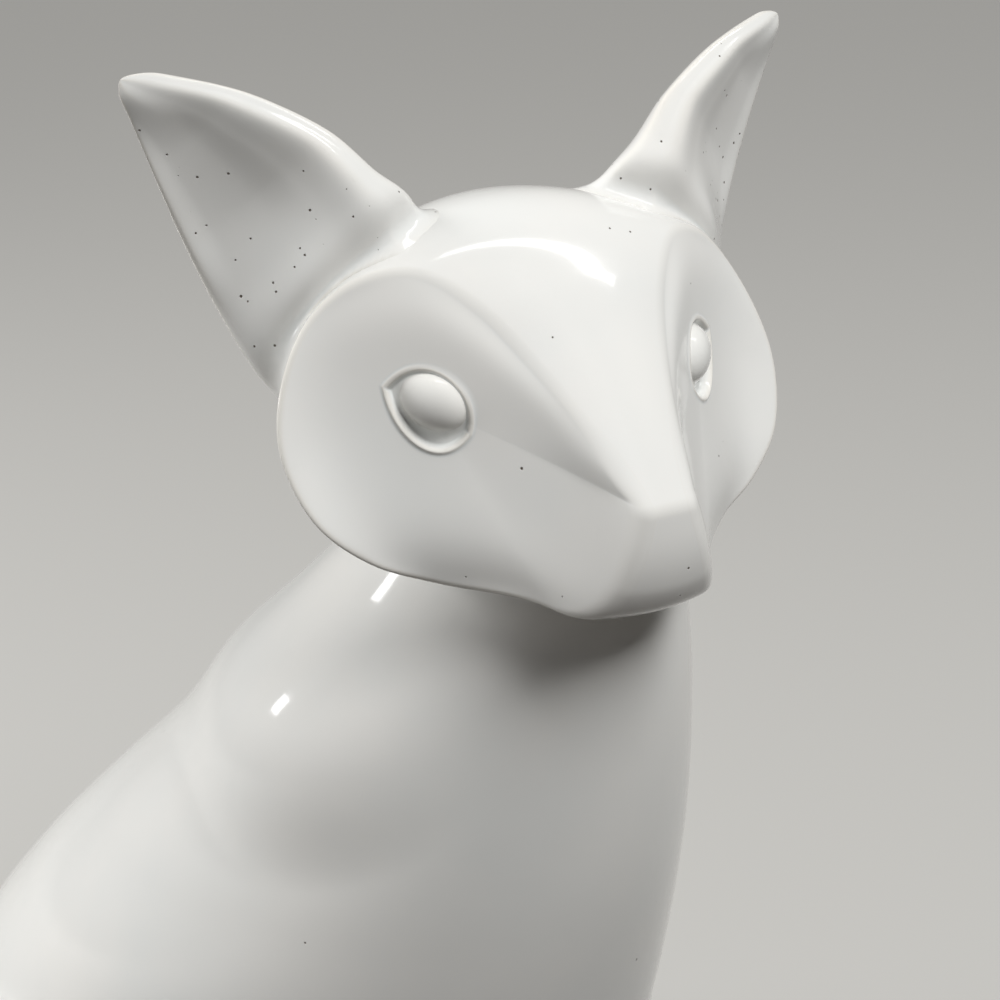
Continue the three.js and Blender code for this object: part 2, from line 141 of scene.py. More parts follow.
# Section of an ear where it is hollow, and where it is full, at the root and the tip: share of the way from
# crest to edge, and from crest to back
EAR_HOLLOW_SHARES = np.array([
    [-0.04, 0.5], [0.03, 0.27], [0.24, 0.24], [0.5, 0.25], [0.8, 0.15], [0.97, 0.02],
    [1, 0.2], [0.86, 0.55], [0.5, 0.9], [0.12, 1.02], [-0.06, 0.78],
])
EAR_FULL_SHARES = np.array([
    [-0.02, 0.22], [0.06, -0.02], [0.24, -0.14], [0.5, -0.28], [0.8, -0.18], [0.97, 0],
    [1, 0.2], [0.86, 0.55], [0.5, 0.9], [0.12, 1.02], [-0.05, 0.62],
])
# Shares of an ear's length at which the hollow sets in, is deepest, begins to run out and has run out
EAR_HOLLOW = (0.16, 0.42, 0.62, 0.89)
# An ear's fillet: how far it stays off the rim beside it, and its least radius
EAR_FILLET_CLEAR, EAR_FILLET_LEAST = 0.4, 0.01

# Legs and paws from the foot up: height, centre, half depth and half width
FORELEG_SECTIONS = np.array([
    [0, -41, 26, 17.5], [6, -41.5, 27.5, 19], [13, -40, 25, 18.5], [22, -33, 18, 16.5],
    [38, -29, 15.5, 15.5], [60, -25, 15.5, 15.5], [80, -19.5, 12.5, 13], [94, -15, 8, 8],
])
HIND_PAW_SECTIONS = np.array([
    [0, 36, 42, 17], [8, 36, 44, 19], [18, 40, 40, 18], [28, 48, 31, 15], [36, 56, 17, 8],
])
PAW_BLUNTNESS = 0.82
TOE_GROOVE_ANGLE, TOE_GROOVE_SPREAD, TOE_HEIGHT = 19, 7, 16

# Tail: points along its middle, and the radius at each
TAIL_STATIONS = np.array([
    [14, 174, 36, 15], [-16, 200, 29, 22], [-58, 206, 26, 27], [-94, 184, 25, 29], [-115, 146, 25, 28],
    [-124, 104, 22, 25], [-121, 64, 17, 18], [-112, 34, 10, 8], [-108, 22, 7, 2],
])

# Height over which the tail's underside is pressed flat
TAIL_PRESS = 2.5

# Glaze over edges and in hollows: how strongly it shows a bend of 1 / mm, and how much of that stays unseen
THIN_GAIN, THIN_UNSEEN = 2.2, 0.12
POOL_GAIN, POOL_UNSEEN = 3, 0.1

# Studio lamps: place from the head and size in metres, power in watts, and whether the glaze mirrors it
LAMPS = {
    "front_softbox": ((-0.1, -0.8, 1.2), (0.8, 0.8), 23, False),
    "back_softbox": ((-0.5, 1.1, 0.4), (0.8, 0.8), 14.5, False),
    "left_fill": ((-1.1, 0.4, 0.2), (0.8, 0.8), 1.6, False),
    "forehead_strip": ((0.4, -0.31, 1.0), (0.08, 0.85), 1.2, True),
    "shoulder_window": ((-0.6, 1.0, 0.25), (0.12, 0.12), 0.5, True),
}
# The head's place, at which they aim, and the camera's, in metres from the foot of the neck's axis
LAMP_TARGET = Vector((0, -0.02, 0.291))
CAMERA_PLACE = Vector((-0.44007, -0.30582, 0.44892))
CAMERA_HEADING, CAMERA_DROP = np.radians([55, 20.4])
LENS, SENSOR = 82.8, 36
# Floor: radius in metres, and how much of its tone is its own light
FLOOR_RADIUS, FLOOR_GLOW = 4, 1.1
# Surround: strength as light, strength where it is seen, and tint
SURROUND_LIGHT, SURROUND_SEEN = 0.03, 0.36
SURROUND_TINT = (1.0, 0.97, 0.92)


def linear(code):
    """Scene-linear colour of an sRGB hex value."""
    share = np.array([int(code[k:k + 2], 16) for k in (0, 2, 4)]) / 255
    return tuple(np.where(share <= 0.04045, share / 12.92, ((share + 0.055) / 1.055) ** 2.4))


def length(name, description, millimetres):
    """Property for a length that is written in millimetres and held in metres."""
    return FloatProperty(name=name, description=description, default=millimetres * MM, min=0, precision=4,
                         subtype="DISTANCE", unit="LENGTH")


def colour(name, description, code):
    """Property for a colour that is written as an sRGB hex value."""
    return FloatVectorProperty(name=name, description=description, default=linear(code), subtype="COLOR",
                               size=3, min=0, max=1)


class OrnamentSizes(bpy.types.PropertyGroup):
    """Sizes of the figure's pieces."""

    wall: length("Shell wall", "Thickness of the cast shell of the torso", 7)
    joint_gap: length("Joint gap", "Clearance round the foot plate", 0.3)
    hollow_top: length("Hollow top", "Height at which the torso's hollow ends", 232)
    haunch_swell: length("Haunch swell", "How far a haunch stands out", 18)
    shoulder_swell: length("Shoulder swell", "How far a shoulder stands out", 5.5)
    foot_round: length("Foot rounding", "Radius along the foot of the torso, legs and paws", 2.4)
    head_lift: length("Head lift", "Middle of the head above the top of the neck", 21.5)
    head_setback: length("Head setback", "Middle of the head forward of the neck's axis", 10)
    head_turn: FloatProperty(name="Head turn", description="Turn of the head to the figure's right",
                             default=np.radians(23), subtype="ANGLE", unit="ROTATION")
    rim_round: length("Rim rounding", "Glaze-softened width to each side of a cheek disc's rim", 1.8)
    muzzle_round: length("Muzzle rounding", "The same at the nose, where the rims run out", 3.5)
    nose_round: length("Nose rounding", "Softened width to each side of the nose's top edge", 1.9)
    chin_round: length("Chin rounding", "Rounded width to each side of the edge under the nose", 11)
    eye_length: length("Eye length", "Eyeball towards the nose", 17.4)
    eye_width: length("Eye width", "Eyeball upwards", 13)
    eye_depth: length("Eye depth", "Eyeball out of the face", 11)
    eye_rise: length("Eye rise", "How far the eyeball stands out of the face", 3.1)
    eye_cove: length("Eye cove", "Softening between the eyeball and the floor of the almond", 2.6)
    eye_lift: length("Eye lift", "Eyeball above the middle of the almond", 0.9)
    nose_bow: length("Nose bow", "How far the nose's flat bows forward", 2.4)
    lid_recess: length("Lid recess", "Depth of the almond cut round an eye", 2)
    lid_wall: length("Lid wall", "Width of the slope into the almond cut", 1.3)
    lid_bead: length("Lid bead", "Height of the rounded lip along the lower lid", 0.5)
    ear_fillet: length("Ear fillet", "Radius between an ear and the crown", 5.5)
    neck_fillet: length("Neck fillet", "Reach of the soft seam between the neck and the head", 8)
    limb_fillet: length("Limb fillet", "Reach of the soft seam between a limb or the tail and the torso", 10)
    foreleg_stance: length("Foreleg stance", "Distance between the forelegs' middles", 50)
    hind_paw_stance: length("Hind paw stance", "Distance between the hind paws' middles", 148)
    toe_groove: length("Toe groove", "Depth of the grooves between the toes", 2.6)
    plate_thickness: length("Plate thickness", "Thickness of the plate in the foot", 6)
    plate_round: length("Plate rounding", "Radius along the plate's edges", 0.8)
    vent_diameter: length("Vent diameter", "Hole in the foot plate", 22)
    pad_thickness: length("Pad thickness", "Thickness of a felt pad", 2)
    pad_diameter: length("Pad diameter", "Diameter of a felt pad", 18)
    pad_across: length("Pad spacing", "Distance between the pads' middles across the figure", 84)
    pad_front_inset: length("Front pad inset", "Front pads behind the foot's front", 40)


class OrnamentColours(bpy.types.PropertyGroup):
    """Colours of the figure's finishes and of the stage."""

    glaze: colour("Glaze", "White glaze over the body", "ECEBE7")
    glaze_thin: colour("Thin glaze", "Glaze drawn thin over an edge, so that the body shows", "E3DDD1")
    glaze_pooled: colour("Pooled glaze", "Glaze gathered in a hollow", "E2E4E2")
    pinhole: colour("Pinhole", "Burnt-out speck in the glaze", "5B5046")
    bisque: colour("Bisque", "Unglazed fired clay", "D8CDB8")
    bisque_grog: colour("Grog", "Coarser grains in the unglazed clay", "BFAF96")
    felt: colour("Felt", "Wool of the pads", "3C3F3A")
    felt_fibre: colour("Felt fibre", "Paler fibres on the pads", "5A5E57")
    floor: colour("Floor", "Plain floor under the figure", "8E8D8A")
    floor_bounce: colour("Floor bounce", "Colour of the light that the floor throws up", "322B25")


def in_millimetres(context):
    """The figure's lengths in millimetres and the turn of its head, under the names of their properties."""
    sizes = context.scene.ornament_sizes
    lengths = {name: getattr(sizes, name) / MM for name in OrnamentSizes.__annotations__}
    lengths["head_turn"] = sizes.head_turn
    return SimpleNamespace(**lengths)


def along(rows, share):
    """Smooth curve through rows of numbers, at shares of its stations: a Catmull-Rom spline, each of whose
    spans is the cubic with the stations' values and half the difference of their neighbours as slopes. The
    list runs straight on past both ends."""
    place = np.clip(share, 0, 1) * (len(rows) - 1)
    span = np.minimum(place.astype(int), len(rows) - 2)
    w = (place - span)[..., None]
    run_on = np.vstack([2 * rows[:1] - rows[1:2], rows, 2 * rows[-1:] - rows[-2:-1]])
    before, start, end, after = (run_on[span + k] for k in range(4))
    leave = (end - before) / 2
    arrive = (after - start) / 2
    bend = 3 * (end - start) - 2 * leave - arrive
    twist = 2 * (start - end) + leave + arrive
    return start + leave * w + bend * w ** 2 + twist * w ** 3


def around(rows, count):
    """Closed smooth curve through rows of numbers: the middle lap of the open one over three laps."""
    lap = len(rows)
    place = lap + np.arange(count) * lap / count
    return along(np.vstack([rows, rows, rows]), place / (3 * lap - 1))


def corner(start, tip, end, count):
    """Rounded corner between two rows of points: the parabola that leaves start and reaches end, with both
    tangents through tip. Only the points between the two are returned."""
    w = np.linspace(0, 1, count + 2)[1:-1].reshape((-1,) + (1,) * np.ndim(start))
    return (1 - w) ** 2 * start + 2 * w * (1 - w) * tip + w ** 2 * end


def smooth_step(value):
    """Smooth climb from 0 to 1 while value goes from 0 to 1."""
    w = np.clip(value, 0, 1)
    return w * w * (3 - 2 * w)


def unit(vectors):
    """Vectors scaled to a length of 1."""
    return vectors / np.maximum(np.linalg.norm(vectors, axis=-1, keepdims=True), 1e-9)


def turns(count):
    """Angles evenly spaced round a circle."""
    return 2 * np.pi * np.arange(count) / count


def circle(count):
    """Places evenly spaced round a circle of radius 1: cosine and sine."""
    return np.stack([np.cos(turns(count)), np.sin(turns(count))], -1)


def levelled(xy, heights):
    """Rings of level points, each at its own height."""
    return np.concatenate([xy, np.broadcast_to(heights[:, None, None], xy.shape[:2] + (1,))], -1)


def foot_inset(height, radius):
    """How far a rounded foot draws in below a height of one radius: a quarter circle."""
    drop = np.clip(radius - height, 0, radius)
    return radius - np.sqrt(radius ** 2 - drop ** 2)


def torso_share(height):
    """Share of the torso's sections at a height, looked up on the sampled curve."""
    share = np.linspace(0, 1, 400)
    return np.interp(height, along(TORSO_SECTIONS, share)[:, 0], share)


def torso_swell(y, height, s):
    """Sideways swell of the haunch, a paraboloid with a softened edge, and of the shoulder, its square."""
    def dome(middle, level, half_length, half_height):
        return 1 - ((y - middle) / half_length) ** 2 - ((height - level) / half_height) ** 2
    haunch = dome(*HAUNCH)
    shoulder = np.maximum(dome(*SHOULDER), 0)
    softened = (haunch + np.sqrt(haunch ** 2 + HAUNCH_SOFTNESS)) / 2
    return s.haunch_swell * softened + s.shoulder_swell * shoulder ** 2


def torso_rings(share, grow, s, columns):
    """Level ovals of the torso at shares of its sections: x and y are half width and half depth times
    cosine and sine, moved outwards from the middle by grow, and x is swollen at the haunch and shoulder."""
    height, front, back, half = along(TORSO_SECTIONS, share).T[:, :, None]
    angle = turns(columns)
    x = half * np.cos(angle)
    y = (back - front) / 2 * np.sin(angle)
    scale = 1 + np.reshape(grow, (-1, 1)) / np.hypot(x, y)
    y_place = (front + back) / 2 + y
    swell = np.tanh(x / SWELL_EASE) * torso_swell(y_place, height, s)
    z = height + s.pad_thickness + 0 * x
    return np.stack([x * scale + swell, (front + back) / 2 + y * scale, z], -1)


def torso_outside(s):
    """Outer skin of the torso from the foot up, drawn in along the foot's rounded edge."""
    share = torso_share(np.concatenate([np.linspace(0, 4, 9), np.linspace(5, NECK_TOP, 170)]))
    height = along(TORSO_SECTIONS, share)[:, 0]
    return torso_rings(share, -foot_inset(height, s.foot_round), s, TORSO_COLUMNS)


def torso_grid(s):
    """Shell of the torso as one run of rings: down the outside, round the foot and up the hollow."""
    skin = torso_outside(s)
    outside = united(skin, head_rings(s), s.neck_fillet, s)
    for limb in limb_rings(s).values():
        outside = outside + united(skin, limb, s.limb_fillet, s) - skin
    hollow = torso_share(np.linspace(0, s.hollow_top, HOLLOW_ROWS))
    inside = torso_rings(hollow, -s.wall, s, TORSO_COLUMNS)
    return np.concatenate([outside[::-1], inside])


def eye_frame(side):
    """Place of an eye and the axes of its cheek disc: towards the nose, up, and out of the face."""
    rim = HEAD_STATIONS[:, :3] * [side, 1, 1]
    to_nose = unit((rim[0] + rim[-1]) / 2 - rim[CHEEK_STATION])
    normal = unit(np.cross(rim[CROWN_STATION] - rim[JAW_STATION], to_nose) * side)
    up = unit(np.cross(normal, to_nose) * -side)
    return EYE_CENTRE * [side, 1, 1], to_nose, up, normal


def lid_reach(bearing):
    """Distance from the eye's centre to the almond in each bearing, looked up on two cubic arcs."""
    w = np.linspace(0, 1, 200)[:, None]

    def arc(a, b, c, d):
        return (1 - w) ** 3 * a + 3 * (1 - w) ** 2 * w * b + 3 * (1 - w) * w ** 2 * c + w ** 3 * d
    bottom = arc(LID_OUTER_CORNER, LID_BOTTOM_BOW[1], LID_BOTTOM_BOW[0], LID_INNER_CORNER)
    top = arc(LID_INNER_CORNER, LID_TOP_BOW[1], LID_TOP_BOW[0], LID_OUTER_CORNER)
    outline = np.vstack([bottom, top])
    bearings = np.arctan2(outline[:, 1], outline[:, 0])
    return np.interp(bearing, bearings, np.hypot(*outline.T), period=2 * np.pi)


def head_outline(s):
    """Stations round the head as a closed list: the curve through them, the nose, which bows forward by a
    half sine, and a rounded corner at each end of the nose."""
    first, last = HEAD_STATIONS[0], HEAD_STATIONS[-1]
    spans = np.linalg.norm(np.diff(HEAD_STATIONS[:, :3], axis=0), axis=1)
    nose = np.linalg.norm((last - first)[:3])
    start = s.nose_round / spans[0] / len(spans)
    stop = 1 - s.chin_round / spans[-1] / len(spans)
    main = along(HEAD_STATIONS, np.linspace(start, stop, 208))
    share = np.linspace(s.chin_round / nose, 1 - s.nose_round / nose, 14)[:, None]
    flat = last + (first - last) * share - np.array([0, 1, 0, 1, 0]) * s.nose_bow * np.sin(np.pi * share)
    return np.vstack([main, corner(main[-1], last, flat[0], 18), flat, corner(flat[-1], first, main[0], 8)])


def blurred(values, widths):
    """Rows of one closed list of values, each blurred with a Gaussian of its own width in places of the
    list: every frequency f is damped by exp(-2 pi^2 width^2 f^2)."""
    spectrum = np.fft.rfft(values)
    damping = np.exp(-2 * (np.pi * widths[:, None] * np.fft.rfftfreq(len(values))) ** 2)
    return np.fft.irfft(spectrum * damping, len(values))


def rim_widths(outline, s):
    """Rounded width to each side of the rim at each station, which grows along the last of the muzzle."""
    growth = smooth_step((MUZZLE_START - outline[:, 1]) / MUZZLE_RUN)
    return s.rim_round + (s.muzzle_round - s.rim_round) * growth


def coved(a, b, floor, s):
    """Height of a face's floor with a cove round the eyeball, at places a towards the nose and b upwards:
    the zero of the smooth union of the floor and a ball a little smaller than the eyeball, found by
    halving. The union is the smaller distance, lowered by k h (1 - h) where they differ by less than k."""
    k = s.eye_cove
    level = (2 * a / s.eye_length) ** 2 + (2 * (b - s.eye_lift) / s.eye_width) ** 2

    def union(height):
        c = height - s.eye_rise + s.eye_depth / 2
        scaled = np.sqrt(level + (2 * c / s.eye_depth) ** 2)
        ball = (scaled - 1) * s.eye_width / 2 + COVE_INSET
        plane = height - floor
        h = np.clip(0.5 + (ball - plane) / (2 * k), 0, 1)
        return ball + (plane - ball) * h - k * h * (1 - h)
    low, high = floor - 1, np.maximum(floor, s.eye_rise) + 2
    for _ in range(24):
        middle = (low + high) / 2
        inside = union(middle) < 0
        low, high = np.where(inside, middle, low), np.where(inside, high, middle)
    return (low + high) / 2


def dish_rows(side, outline, s):
    """Cheek disc from the eye outwards, along a ray to each station of the rim. A point lies a share of the
    ray along it, raised with the square of that share to meet the rim. It is sunk inside the almond round
    the eye, lifted a little by the lip along the lower lid, and coved up to the eyeball. The rise is
    blurred round the disc, the more the further in. The disc stops short of the rim by the rim's
    rounding."""
    origin, to_nose, up, normal = eye_frame(side)
    out = outline[:, :3] * [side, 1, 1] - origin
    rise = out @ normal
    flat = out - rise[:, None] * normal
    ray = np.linalg.norm(flat, axis=1)
    noseward, upward = flat @ to_nose / ray, flat @ up / ray
    lid = lid_reach(np.arctan2(flat @ up, flat @ to_nose))
    wall = s.lid_wall
    inner = (lid - 2 * wall) * np.linspace(0.1, 1, 30)[:, None]
    edge = lid + np.linspace(-1.9, 3, 30)[:, None] * wall
    outer = edge[-1] + (ray - rim_widths(outline, s) - edge[-1]) * np.linspace(0, 1, 44)[1:, None]
    reach = np.concatenate([inner, edge, outer])
    past = (reach - lid) / wall
    sink = s.lid_recess * (1 - smooth_step(1 + past))
    lower = (1 - upward) / 2
    bead = s.lid_bead * lower * np.exp(-(past - BEAD_PLACE) ** 2 / BEAD_SPREAD)
    inwards = (1 - (reach / ray) ** 2).mean(axis=1)
    height = blurred(rise, RISE_BLUR * inwards) * (reach / ray) ** 2 - sink + bead
    height = coved(reach * noseward, reach * upward, height, s)
    return origin + (flat / ray[:, None]) * reach[..., None] + normal * height[..., None]


def head_parts(s):
    """The head's right disc, the mantle between the rims, and the left disc, in the head's own axes. The
    mantle crosses from rim to rim: sideways in proportion, and from the middle line with the square of
    that."""
    outline = head_outline(s)
    x, y, z, middle_y, middle_z = outline.T
    slope = np.linalg.norm(np.stack([x, 2 * (y - middle_y), 2 * (z - middle_z)]), axis=0)
    q = np.linspace(-1, 1, 88)[:, None] * (1 - np.minimum(rim_widths(outline, s) / slope, RIM_SHARE))
    mantle = np.stack([x * q, middle_y + (y - middle_y) * q ** 2, middle_z + (z - middle_z) * q ** 2], -1)
    right = dish_rows(-1, outline, s)
    left = dish_rows(1, outline, s)[::-1]
    rim_right = corner(right[-1], outline[:, :3] * [-1, 1, 1], mantle[0], 9)
    rim_left = corner(mantle[-1], outline[:, :3], left[0], 9)
    return np.concatenate([right, rim_right]), mantle, np.concatenate([rim_left, left])


def on_neck(points, s):
    """Points from the head's own axes to the figure's: moved forward, turned about the neck and lifted."""
    turn = -s.head_turn
    rotation = np.array([[np.cos(turn), -np.sin(turn), 0], [np.sin(turn), np.cos(turn), 0], [0, 0, 1]])
    return (points - [0, s.head_setback, 0]) @ rotation.T + [0, 0, NECK_TOP + s.head_lift + s.pad_thickness]


def head_rings(s):
    """Head as one run of rings from the right eye over both rims to the left eye."""
    return on_neck(np.concatenate(head_parts(s)), s)


def mantle_seat(s):
    """Points and outward normals of the head's mantle, for the pieces that are luted to it, and the room
    from each point to the nearer rim."""
    right, mantle, left = head_parts(s)
    rows = slice(len(right), len(right) + len(mantle))
    grid = on_neck(np.concatenate([right, mantle, left]), s)
    steps = np.linalg.norm(np.diff(mantle, axis=0), axis=-1)
    run = np.concatenate([0 * steps[:1], np.cumsum(steps, axis=0)])
    room = np.minimum(run, run[-1] - run)[..., None]
    seat, normals, room = (finer(values, 3) for values in (grid[rows], outward(grid)[rows], room))
    return seat.reshape(-1, 3), unit(normals).reshape(-1, 3), room.ravel()


def ear_grid(side, s):
    """Ear as rings from the root to the tip: each ring is the section's shares laid between the crest, the
    back and the edge. Over the last of its length a ring shrinks as a half circle does, which rounds the
    tip, and near the crown the ear flares into a fillet."""
    starts, deepest, fades, ends = EAR_HOLLOW
    swing = np.linspace(0, np.pi / 2, 24)[1:-1]
    share = np.concatenate([np.linspace(0, ends, 160), ends + (1 - ends) * np.sin(swing)])
    shrink = np.concatenate([np.ones(160), np.cos(swing)])[:, None, None]
    crest, back, edge = (along(line, share)[:, None] for line in (EAR_CREST, EAR_BACK, EAR_EDGE))
    hollow = smooth_step((share - starts) / (deepest - starts))
    hollow = hollow * smooth_step((ends - share) / (ends - fades))
    section = around(EAR_FULL_SHARES, 168)
    section = section + hollow[:, None, None] * (around(EAR_HOLLOW_SHARES, 168) - section)
    across, deep = np.moveaxis(section, -1, 0)[..., None]
    rings = crest + across * (edge - crest) + deep * (back - crest)
    middle = rings.mean(axis=1, keepdims=True)
    rings = (middle + (rings - middle) * shrink) * [side, 1, 1]
    seat, normals, room = mantle_seat(s)
    radii = np.clip(room / 2 - EAR_FILLET_CLEAR, EAR_FILLET_LEAST, s.ear_fillet)
    return flared(on_neck(rings, s), seat, normals, radii)


def eye_grid(side, s):
    """Eyeball: an ellipsoid on the axes of its cheek disc, standing out of the face by its rise."""
    origin, to_nose, up, normal = eye_frame(side)
    polar = np.linspace(0, np.pi, 50)[1:-1, None]
    angle = turns(72)
    a = s.eye_length / 2 * np.cos(polar) + 0 * angle
    b = s.eye_width / 2 * np.sin(polar) * np.cos(angle) + s.eye_lift
    c = s.eye_depth / 2 * np.sin(polar) * np.sin(angle) + s.eye_rise - s.eye_depth / 2
    return on_neck(origin + a[..., None] * to_nose + b[..., None] * up + c[..., None] * normal, s)


def paw_rings(sections, middle, s):
    """Leg or paw as level rings: ovals with filled-out corners, drawn in at the rounded sole and along the
    grooves between the toes."""
    share = np.concatenate([np.linspace(0, 0.06, 10), np.linspace(0.07, 1, 90)])
    height, centre, depth, half = along(sections, share).T[:, :, None]
    angle = turns(168)
    from_front = np.abs(np.degrees(angle) - 270)
    groove = s.toe_groove * np.exp(-((from_front - TOE_GROOVE_ANGLE) / TOE_GROOVE_SPREAD) ** 2)
    groove = groove * np.sqrt(np.clip(1 - height / TOE_HEIGHT, 0, 1))
    inset = foot_inset(height, s.foot_round) + groove
    cosine, sine = (np.sign(v) * np.abs(v) ** PAW_BLUNTNESS for v in (np.cos(angle), np.sin(angle)))
    x = middle + half * cosine * (1 - inset / depth)
    y = centre + depth * sine * (1 - inset / depth)
    return np.stack([x, y, height + s.pad_thickness + 0 * x], -1)


def tail_rings(s):
    """Tail as round rings carried square to its middle line, pressed flat where it lies on the foot's
    plane: a height above that plane becomes half its sum with its own smoothed size."""
    share = np.linspace(0, 1, 190)
    x, y, z, radius = along(TAIL_STATIONS, share).T
    forward = unit(along(TAIL_STATIONS, share + 0.01)[:, :3] - along(TAIL_STATIONS, share - 0.01)[:, :3])
    side = unit(np.cross([0, 0, 1], forward))
    over = np.cross(forward, side)
    angle = turns(112)[:, None]
    middle = np.stack([x, y, z], -1)[:, None]
    rings = middle + radius[:, None, None] * (np.cos(angle) * side[:, None] + np.sin(angle) * over[:, None])
    rings[..., 2] = (rings[..., 2] + np.hypot(rings[..., 2], TAIL_PRESS)) / 2 + s.pad_thickness
    return rings


def limb_rings(s):
    """Rings of the legs, the paws and the tail, under the names of their solids."""
    rings = {"tail": tail_rings(s)}
    for name, side in SIDES.items():
        rings[f"{name}_foreleg"] = paw_rings(FORELEG_SECTIONS, side * s.foreleg_stance / 2, s)
        rings[f"{name}_hind_paw"] = paw_rings(HIND_PAW_SECTIONS, side * s.hind_paw_stance / 2, s)
    return rings


def united(rings, other, k, s):
    """Rings moved out onto their smooth union with another run of rings. A point at a height h over the
    other surface, within k of it, moves by k / 4 (1 - |h| / k)^2 over the square of g, along g: the mix of
    both surfaces' normals in the shares (1 + h / k) / 2 and (1 - h / k) / 2. Moved the same way, the other
    surface meets it along a line in one tangent plane. The move fades out beside the other surface, and
    upwards and downwards at the foot."""
    points, normals = rings.reshape(-1, 3), outward(rings).reshape(-1, 3)
    seat, seat_normals = other.reshape(-1, 3), outward(other).reshape(-1, 3)
    by = beside_box(points, seat, k)
    near = beside_box(seat, points[by], k)
    seat, seat_normals = seat[near], seat_normals[near]
    close = nearest(points[by], seat)
    apart = points[by] - seat[close]
    height = np.sum(apart * seat_normals[close], axis=1)
    beside = np.sqrt(np.maximum(np.sum(apart ** 2, axis=1) - height ** 2, 0))
    share = np.clip(height / k, -1, 1)[:, None]
    g = ((1 + share) * normals[by] + (1 - share) * seat_normals[close]) / 2
    square = np.maximum(np.sum(g ** 2, axis=1, keepdims=True), SEAM_LEAST)
    size = k / 4 * (1 - np.abs(share)) ** 2 / square
    move = g * size * (1 - smooth_step(beside / SEAM_FADE - 1))[:, None]
    move[:, 2] *= smooth_step((points[by, 2] - s.pad_thickness) / SEAM_FOOT)
    moved = np.zeros_like(points)
    moved[by] = move
    return rings + evened(moved.reshape(rings.shape))


def plate_grid(s):
    """Foot plate as a closed run of rings: along the underside from the vent to the edge, up, and back
    along the top. Each ring is a mix of the vent's circle and the hollow's outline at its height, and the
    plate's four edges are rounded."""
    low = s.pad_thickness
    high = low + s.plate_thickness
    r = s.plate_round
    bearing = circle(200)
    steps = 6
    half = 2 * steps
    quarter = np.linspace(0, np.pi / 2, steps)
    turn = np.concatenate([quarter + k * np.pi / 2 for k in range(4)])
    outer = np.repeat([1, 1, 0, 0], steps)
    top = np.repeat([0, 1, 1, 0], steps)
    z = np.where(top, high - r, low + r) - r * np.cos(turn)
    rim = torso_rings(torso_share(z - low), -s.wall - s.joint_gap - r, s, len(bearing))[..., :2]
    vent = bearing * (s.vent_diameter / 2 + r) + [0, TORSO_SECTIONS[0, 1:3].mean()]
    flat = np.where(outer[:, None, None], rim, vent) + bearing * (r * np.sin(turn))[:, None, None]
    fill = np.linspace(0, 1, 14)[1:-1, None, None]
    under = flat[-1] + (flat[0] - flat[-1]) * fill
    over = flat[half - 1] + (flat[half] - flat[half - 1]) * fill
    heights = [np.full(len(fill), low), z[:half], np.full(len(fill), high), z[half:]]
    return levelled(np.concatenate([under, flat[:half], over, flat[half:]]), np.concatenate(heights))


def pad_grid(x, y, s):
    """Felt pad: a disc with flat faces, whose cut edge is a half ellipse."""
    swing = np.linspace(-np.pi / 2, np.pi / 2, 15)
    face = np.linspace(0.08, 0.86, 9)
    radius = np.concatenate([face, 0.88 + 0.12 * np.cos(swing), face[::-1]])
    level = np.concatenate([0 * face - 1, np.sin(swing), 0 * face + 1])
    xy = radius[:, None, None] * circle(96) * s.pad_diameter / 2 + [x, y]
    return levelled(xy, (level + 1) / 2 * s.pad_thickness)


def signed_volume(points):
    """Six times the volume inside closed rings, negative if they run clockwise about their way."""
    ahead = np.roll(points, -1, axis=1)
    a, b, c, d = points[:-1], ahead[:-1], ahead[1:], points[1:]
    walls = np.sum(a * (np.cross(b, c) + np.cross(c, d)))
    first, last = (np.sum(np.cross(points[k], ahead[k]).sum(0) * points[k].mean(0)) for k in (0, -1))
    return walls - first + last


def ring_steps(values):
    """Steps of values along the rings and round them, at each point."""
    return np.gradient(values, axis=0), np.roll(values, -1, axis=1) - np.roll(values, 1, axis=1)


def outward(points):
    """Outward unit normals of closed rings: the step round a ring crossed with the step along the rings."""
    onwards, sideways = ring_steps(points)
    return unit(np.cross(sideways, onwards)) * np.sign(signed_volume(points))


def nearest(points, seat):
    """Index of the closest seat point to each point: the largest of p.q - q.q/2, in blocks of rows."""
    middle = seat.mean(axis=0)
    q = (seat - middle).astype(np.float32)
    p = (points - middle).astype(np.float32)
    half_square = (q ** 2).sum(axis=1) / 2
    return np.concatenate([np.argmax(rows @ q.T - half_square, axis=1) for rows in np.array_split(p, 24)])


def beside_box(points, others, margin):
    """Whether each point is inside the box round the others, grown by a margin."""
    return np.all((points > others.min(axis=0) - margin) & (points < others.max(axis=0) + margin), axis=1)


def evened(moves):
    """Moves of rings of points, averaged with their neighbours: a quarter, a half and a quarter, along the
    rings and round them."""
    edged = np.concatenate([moves[:1], moves, moves[-1:]])
    moves = (edged[:-2] + 2 * moves + edged[2:]) / 4
    return (np.roll(moves, 1, axis=1) + 2 * moves + np.roll(moves, -1, axis=1)) / 4


def finer(grid, times):
    """Grid of closed rings with more rows and columns, filled in along straight lines."""
    rows, columns = grid.shape[:2]
    row = np.linspace(0, rows - 1, times * (rows - 1) + 1)
    low = np.minimum(row.astype(int), rows - 2)
    share = (row - low)[:, None, None]
    tall = grid[low] * (1 - share) + grid[low + 1] * share
    column = np.arange(times * columns) / times
    left = column.astype(int)
    share = (column - left)[:, None]
    return tall[:, left] * (1 - share) + tall[:, (left + 1) % columns] * share


